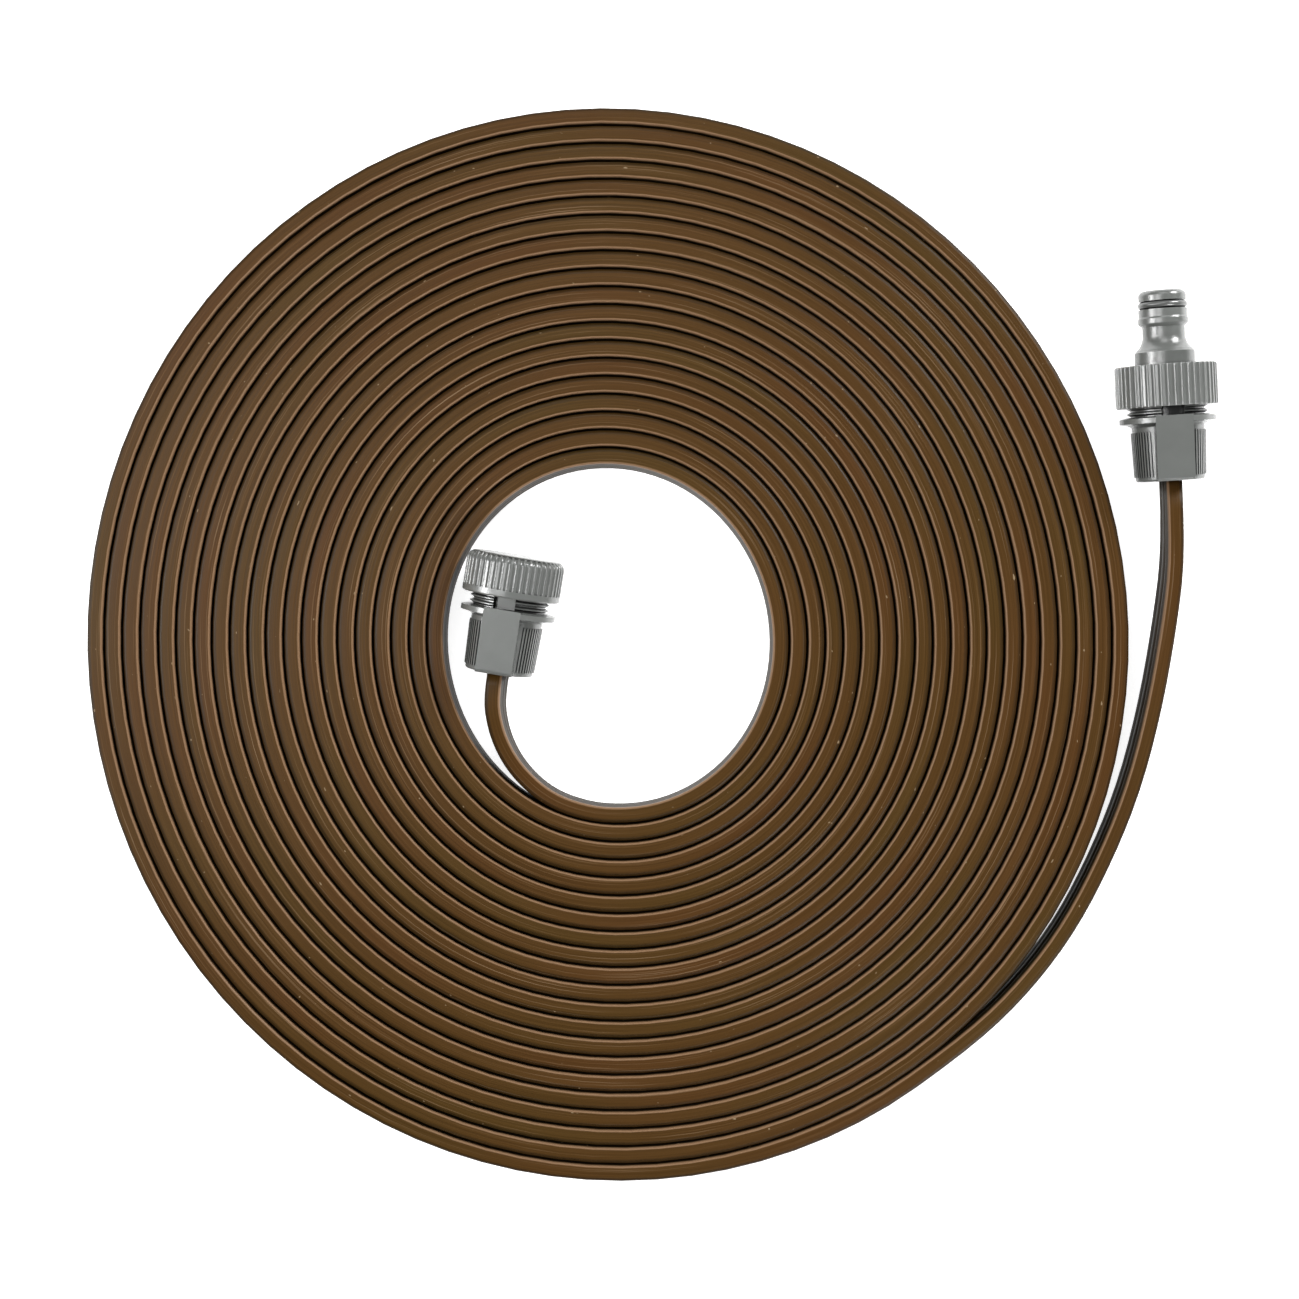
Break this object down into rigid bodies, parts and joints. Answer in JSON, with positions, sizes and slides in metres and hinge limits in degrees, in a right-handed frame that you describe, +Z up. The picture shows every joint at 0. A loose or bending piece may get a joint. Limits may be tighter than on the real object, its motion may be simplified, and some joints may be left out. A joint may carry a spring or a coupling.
{
  "type": "soaker hose",
  "caption": "Flat porous soaker hose wound on edge into a flat coil, with a quick-connect inlet fitting outside and a capped end fitting in the middle.",
  "frame": {"origin": "on the ground under the middle of the whole hose's bounding box", "axes": "+Z up across the flat coil; +X along the longest side, from the coil's middle to the side where the inlet fitting lies; +Y the way the inlet points"},
  "size_m": [0.3757, 0.3574, 0.0343],
  "materials": {
    "hose": "matte extruded brown with fine lengthwise lines",
    "fitting": "satin moulded mid-grey",
    "manifold": "satin moulded mid-grey",
    "seal": "black rubber"
  },
  "bodies": {
    "hose": {"hose_coil": "hose", "hose_inlet_tail": "hose", "hose_end_tail": "hose", "hose_inlet_end": "hose", "hose_far_end": "hose", "inlet_clamp_sleeve": "fitting", "inlet_barbed_manifold": "manifold", "end_clamp_sleeve": "fitting", "end_barbed_manifold": "manifold"},
    "spigot": {"inlet_spigot": "fitting", "spigot_o_ring": "seal", "inlet_gasket": "seal"},
    "union_nut": {"inlet_union_nut": "fitting"},
    "end_seal": {"end_seal_disc": "seal"},
    "end_cap": {"end_cap_nut": "fitting"}
  },
  "joints": [
    {"name": "inlet_spigot_slide", "type": "slide", "parent": "hose", "child": "spigot", "axis": [-0.0626, 0.9956, 0.0698], "range_m": [0, 0.0091]},
    {"name": "inlet_nut_turn", "type": "hinge", "parent": "spigot", "child": "union_nut", "pos_m": [0.17052, 0.08387, 0.01704], "axis": [-0.0626, 0.9956, 0.0698], "range_deg": [0, 1800]},
    {"name": "end_seal_slide", "type": "slide", "parent": "hose", "child": "end_seal", "axis": [0.1612, 0.9845, 0.0698], "range_m": [0, 0.00273]},
    {"name": "end_cap_turn", "type": "hinge", "parent": "end_seal", "child": "end_cap", "pos_m": [-0.04656, 0.01983, 0.01657], "axis": [0.1612, 0.9845, 0.0698], "range_deg": [0, 540]}
  ],
  "couplings": [
    {"joint": "inlet_spigot_slide", "follows": "inlet_nut_turn", "m_per_rad": 0.00028871},
    {"joint": "end_seal_slide", "follows": "end_cap_turn", "m_per_rad": 0.00028871}
  ]
}
